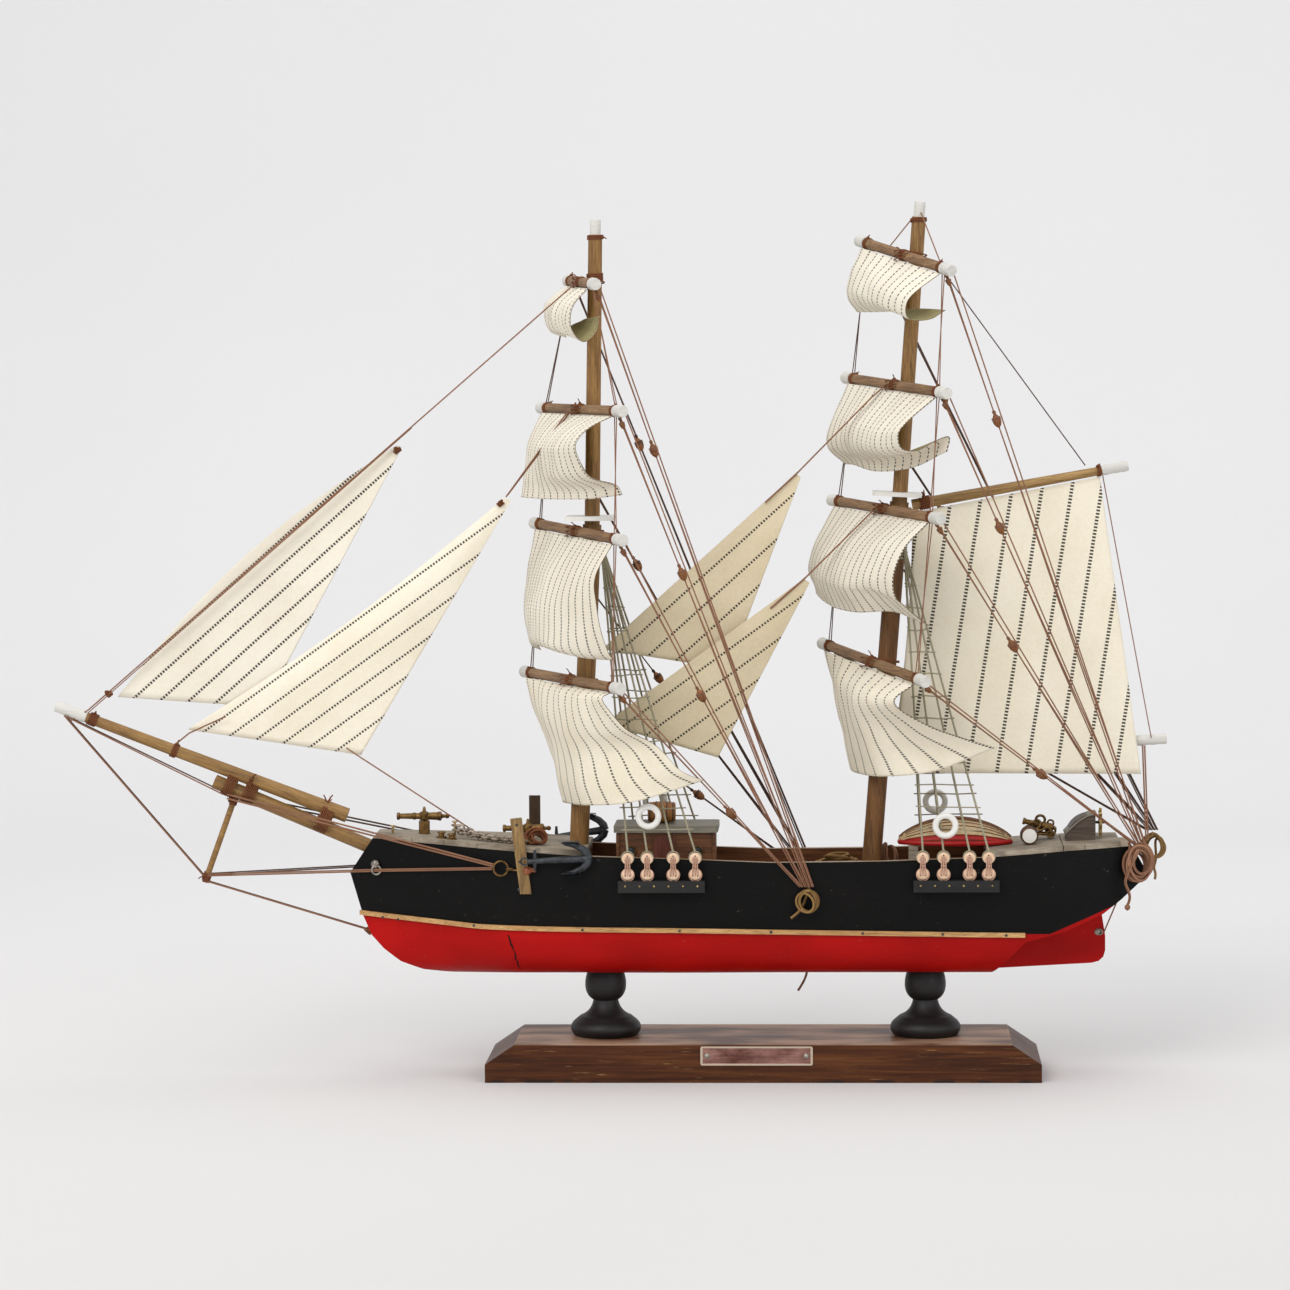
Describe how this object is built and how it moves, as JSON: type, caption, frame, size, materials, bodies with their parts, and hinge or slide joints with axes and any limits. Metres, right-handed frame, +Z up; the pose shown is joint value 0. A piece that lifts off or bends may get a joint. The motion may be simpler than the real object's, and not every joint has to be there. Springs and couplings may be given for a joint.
{
  "type": "model sailing ship",
  "caption": "Two-masted square-rigged ship model with cloth sails and cord rigging, on a turned-pillar wooden stand.",
  "frame": {"origin": "centre of the stand's underside", "axes": "+Z up, -X toward the bow, -Y toward the port side"},
  "size_m": [0.4807, 0.1018, 0.3749],
  "materials": {
    "stained_wood": "worn stain",
    "plate_metal": "copper-toned sheet",
    "black_wood": "matt black stain",
    "hull_paint": "black paint over red paint below the wale",
    "red_paint": "satin red paint",
    "pale_wood": "bare pale wood",
    "deck_grey": "weathered grey",
    "brown_wood": "brown stain",
    "mast_wood": "oiled dowel",
    "yard_wood": "brown stain",
    "bronze": "dull cast",
    "dark_iron": "blackened cast metal",
    "white_paint": "matt white",
    "grey_cord": "waxed cord",
    "brown_cord": "polished cord",
    "sailcloth": "cotton"
  },
  "bodies": {
    "hull": {"base_board": "stained_wood", "name_plate": "plate_metal", "stand_pillars": "black_wood", "hull_block": "hull_paint", "wale_strips": "pale_wood", "rudder_board": "red_paint", "forecastle_deck": "deck_grey", "quarter_deck": "deck_grey", "main_deck": "brown_wood", "channels": "black_wood", "catheads": "mast_wood", "deckhouse": "brown_wood", "deckhouse_roof": "deck_grey", "casks": "brown_wood", "lifeboat": "pale_wood", "gun_posts": "bronze", "anchors": "dark_iron", "companion_hood": "brown_wood", "deck_cannon": "bronze", "fore_mast": "mast_wood", "main_mast": "mast_wood", "mast_tops": "white_paint", "bowsprit": "mast_wood", "jib_boom": "mast_wood", "dolphin_striker": "mast_wood", "gaff": "mast_wood", "boom": "mast_wood", "shrouds": "grey_cord", "deadeyes": "pale_wood", "lifebuoys": "white_paint", "standing_rigging": "brown_cord", "fore_braces": "brown_cord", "main_braces": "brown_cord", "rope_hanks": "brown_cord", "nails_and_rings": "bronze", "flying_jib": "sailcloth", "inner_jib": "sailcloth", "upper_staysail": "sailcloth", "lower_staysail": "sailcloth", "spanker_sail": "sailcloth"},
    "fore_yards": {"fore_course_yard": "yard_wood", "fore_topsail_yard": "yard_wood", "fore_topgallant_yard": "yard_wood", "fore_royal_yard": "yard_wood", "fore_course_sail": "sailcloth", "fore_topsail": "sailcloth", "fore_topgallant_sail": "sailcloth", "fore_royal_sail": "sailcloth"},
    "main_yards": {"main_course_yard": "yard_wood", "main_topsail_yard": "yard_wood", "main_topgallant_yard": "yard_wood", "main_royal_yard": "yard_wood", "main_course_sail": "sailcloth", "main_topsail": "sailcloth", "main_topgallant_sail": "sailcloth", "main_royal_sail": "sailcloth"},
    "fore_gun": {"fore_gun": "bronze"},
    "aft_gun": {"aft_gun": "bronze"},
    "ships_wheel": {"ships_wheel": "bronze"}
  },
  "joints": [
    {"name": "fore_yards_swing", "type": "hinge", "parent": "hull", "child": "fore_yards", "pos_m": [-0.0785, 0, 0.087], "axis": [0.0295, 0, 0.9996], "range_deg": [-4, 4], "deforming": ["fore_braces"]},
    {"name": "main_yards_swing", "type": "hinge", "parent": "hull", "child": "main_yards", "pos_m": [0.0466, 0, 0.087], "axis": [0.0773, 0, 0.997], "range_deg": [-4, 4], "deforming": ["main_braces"]},
    {"name": "fore_gun_swivel", "type": "hinge", "parent": "hull", "child": "fore_gun", "pos_m": [-0.1466, 0, 0.112], "axis": [0, 0, 1], "range_deg": [-60, 60]},
    {"name": "aft_gun_swivel", "type": "hinge", "parent": "hull", "child": "aft_gun", "pos_m": [-0.1016, 0, 0.1066], "axis": [0, 0, 1], "range_deg": [-60, 60]},
    {"name": "wheel_spin", "type": "hinge", "parent": "hull", "child": "ships_wheel", "pos_m": [0.1454, 0, 0.1086], "axis": [1, 0, 0], "continuous": true}
  ]
}
